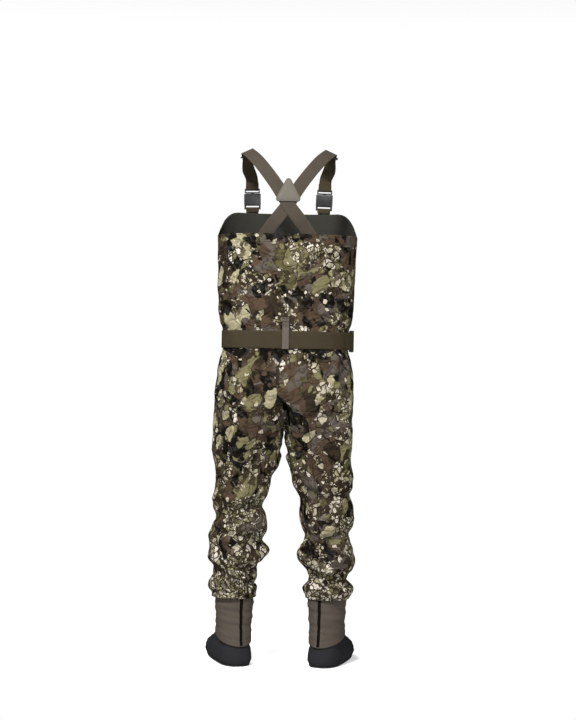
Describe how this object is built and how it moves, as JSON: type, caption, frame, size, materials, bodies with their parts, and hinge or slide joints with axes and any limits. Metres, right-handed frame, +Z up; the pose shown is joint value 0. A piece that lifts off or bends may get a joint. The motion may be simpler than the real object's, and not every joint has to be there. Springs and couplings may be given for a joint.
{
  "type": "chest waders",
  "caption": "Camouflage stockingfoot chest waders with crossed suspenders, side-release buckles, belt, zipped pocket, gravel guards and neoprene feet.",
  "frame": {"origin": "middle of the bounding box's base, on the ground under the soles", "axes": "+Z up; the wearer faces -Y; the wearer's left is +X"},
  "size_m": [0.4468, 0.3167, 1.5091],
  "materials": {
    "camouflage_laminate": "printed three-layer laminate, matte",
    "bootie_neoprene": "knit-faced neoprene foam, matte",
    "sole_neoprene": "high-density neoprene foam, matte",
    "guard_cloth": "stretch neoprene cloth, matte",
    "stripe_tape": "bonded tape, satin",
    "suspender_elastic": "woven elastic",
    "belt_webbing": "woven nylon webbing",
    "loop_cloth": "woven tape",
    "yoke_patch": "coated cloth patch, satin",
    "buckle_plastic": "moulded acetal, satin",
    "steel": "plated wire and die casting"
  },
  "bodies": {
    "garment": {"belt_buckle_socket": "buckle_plastic", "belt_loop_back": "loop_cloth", "belt_loop_left": "loop_cloth", "belt_tail": "belt_webbing", "belt_webbing": "belt_webbing", "bib_back_panel": "camouflage_laminate", "bib_front_panel": "camouflage_laminate", "chest_pocket_panel": "camouflage_laminate", "crotch_gusset": "camouflage_laminate", "d_ring_tab": "belt_webbing", "hip_front_panel": "camouflage_laminate", "left_back_strap": "suspender_elastic", "left_bootie_sole": "sole_neoprene", "left_bootie_upper": "bootie_neoprene", "left_front_anchor_tab": "belt_webbing", "left_front_buckle_socket": "buckle_plastic", "left_gravel_guard": "guard_cloth", "left_guard_stripe": "stripe_tape", "left_hook_tab": "belt_webbing", "left_leg_inner_panel": "camouflage_laminate", "left_leg_outer_panel": "camouflage_laminate", "right_back_strap": "suspender_elastic", "right_bootie_sole": "sole_neoprene", "right_bootie_upper": "bootie_neoprene", "right_front_anchor_tab": "belt_webbing", "right_front_buckle_socket": "buckle_plastic", "right_gravel_guard": "guard_cloth", "right_guard_stripe": "stripe_tape", "right_hook_tab": "belt_webbing", "right_leg_inner_panel": "camouflage_laminate", "right_leg_outer_panel": "camouflage_laminate", "seat_panel": "camouflage_laminate", "yoke_inner_patch": "yoke_patch", "yoke_outer_patch": "yoke_patch", "zip_coil": "stripe_tape", "zip_tape": "stripe_tape"},
    "belt_plug": {"belt_buckle_plug": "buckle_plastic", "belt_plug_webbing": "belt_webbing"},
    "belt_arm_a": {"belt_buckle_arm_a": "buckle_plastic"},
    "belt_arm_b": {"belt_buckle_arm_b": "buckle_plastic"},
    "belt_keeper": {"belt_keeper": "buckle_plastic"},
    "zip_slider": {"zip_slider": "steel"},
    "zip_pull": {"zip_pull": "steel"},
    "tool_ring": {"d_ring": "steel"},
    "left_front_plug": {"left_front_buckle_plug": "buckle_plastic", "left_front_webbing": "belt_webbing"},
    "left_front_arm_a": {"left_front_buckle_arm_a": "buckle_plastic"},
    "left_front_arm_b": {"left_front_buckle_arm_b": "buckle_plastic"},
    "right_front_plug": {"right_front_buckle_plug": "buckle_plastic", "right_front_webbing": "belt_webbing"},
    "right_front_arm_a": {"right_front_buckle_arm_a": "buckle_plastic"},
    "right_front_arm_b": {"right_front_buckle_arm_b": "buckle_plastic"},
    "left_ladder_lock": {"left_ladder_lock": "buckle_plastic", "left_webbing_turn": "belt_webbing"},
    "right_ladder_lock": {"right_ladder_lock": "buckle_plastic", "right_webbing_turn": "belt_webbing"},
    "left_lace_hook": {"left_lace_hook": "steel"},
    "right_lace_hook": {"right_lace_hook": "steel"}
  },
  "joints": [
    {"name": "belt_buckle_pull", "type": "slide", "parent": "garment", "child": "belt_plug", "axis": [0, -1, 0], "range_m": [0, 0.04], "deforming": ["belt_buckle_arm_a", "belt_buckle_arm_b"]},
    {"name": "belt_arm_a_squeeze", "type": "hinge", "parent": "belt_plug", "child": "belt_arm_a", "pos_m": [-0.1935, 0.0032, 0.9699], "axis": [-1, 0, 0], "range_deg": [0, 7], "stiffness_Nm_per_rad": 1.6},
    {"name": "belt_arm_b_squeeze", "type": "hinge", "parent": "belt_plug", "child": "belt_arm_b", "pos_m": [-0.1935, 0.0032, 0.9261], "axis": [-1, 0, 0], "range_deg": [-7, 0], "stiffness_Nm_per_rad": 1.6},
    {"name": "left_front_buckle_pull", "type": "slide", "parent": "garment", "child": "left_front_plug", "axis": [0.0299, 0.0599, 0.9978], "range_m": [0, 0.036], "deforming": ["left_front_buckle_arm_a", "left_front_buckle_arm_b"]},
    {"name": "left_front_arm_a_squeeze", "type": "hinge", "parent": "left_front_plug", "child": "left_front_arm_a", "pos_m": [0.09409, -0.11294, 1.39032], "axis": [0.2704, -0.9615, 0.0496], "range_deg": [0, 7], "stiffness_Nm_per_rad": 1.6},
    {"name": "left_front_arm_b_squeeze", "type": "hinge", "parent": "left_front_plug", "child": "left_front_arm_b", "pos_m": [0.12392, -0.10462, 1.38893], "axis": [0.2704, -0.9615, 0.0496], "range_deg": [-7, 0], "stiffness_Nm_per_rad": 1.6},
    {"name": "right_front_buckle_pull", "type": "slide", "parent": "garment", "child": "right_front_plug", "axis": [-0.0299, 0.0599, 0.9978], "range_m": [0, 0.036], "deforming": ["right_front_buckle_arm_a", "right_front_buckle_arm_b"]},
    {"name": "right_front_arm_a_squeeze", "type": "hinge", "parent": "right_front_plug", "child": "right_front_arm_a", "pos_m": [-0.12392, -0.10462, 1.38893], "axis": [-0.2704, -0.9615, 0.0496], "range_deg": [0, 7], "stiffness_Nm_per_rad": 1.6},
    {"name": "right_front_arm_b_squeeze", "type": "hinge", "parent": "right_front_plug", "child": "right_front_arm_b", "pos_m": [-0.09409, -0.11294, 1.39032], "axis": [-0.2704, -0.9615, 0.0496], "range_deg": [-7, 0], "stiffness_Nm_per_rad": 1.6},
    {"name": "left_ladder_lock_tilt", "type": "hinge", "parent": "garment", "child": "left_ladder_lock", "pos_m": [0.121, 0.0114, 1.494], "axis": [-0.9042, -0.0462, 0.4245], "range_deg": [0, 35]},
    {"name": "right_ladder_lock_tilt", "type": "hinge", "parent": "garment", "child": "right_ladder_lock", "pos_m": [-0.121, 0.0114, 1.494], "axis": [-0.9042, 0.0462, -0.4245], "range_deg": [0, 35]},
    {"name": "belt_keeper_slide", "type": "slide", "parent": "garment", "child": "belt_keeper", "axis": [1, 0, 0], "range_m": [-0.012, 0.012]},
    {"name": "zip_slide", "type": "slide", "parent": "garment", "child": "zip_slider", "axis": [0, 0, 1], "range_m": [0, 0.157]},
    {"name": "zip_pull_swing", "type": "hinge", "parent": "zip_slider", "child": "zip_pull", "pos_m": [0, -0.122, 1.0955], "axis": [-1, 0, 0], "range_deg": [-3, 150]},
    {"name": "tool_ring_swing", "type": "hinge", "parent": "garment", "child": "tool_ring", "pos_m": [-0.13093, -0.10211, 1.222], "axis": [-0.908, 0.4191, 0], "range_deg": [-3, 85]},
    {"name": "left_lace_hook_swing", "type": "hinge", "parent": "garment", "child": "left_lace_hook", "pos_m": [0.16815, -0.05493, 0.1105], "axis": [-0.9397, -0.342, 0], "range_deg": [0, 100]},
    {"name": "right_lace_hook_swing", "type": "hinge", "parent": "garment", "child": "right_lace_hook", "pos_m": [-0.16815, -0.05493, 0.1105], "axis": [-0.9397, 0.342, 0], "range_deg": [0, 100]}
  ],
  "couplings": [
    {"joint": "belt_arm_b_squeeze", "follows": "belt_arm_a_squeeze", "ratio": -1},
    {"joint": "left_front_arm_b_squeeze", "follows": "left_front_arm_a_squeeze", "ratio": -1},
    {"joint": "right_front_arm_b_squeeze", "follows": "right_front_arm_a_squeeze", "ratio": -1}
  ]
}
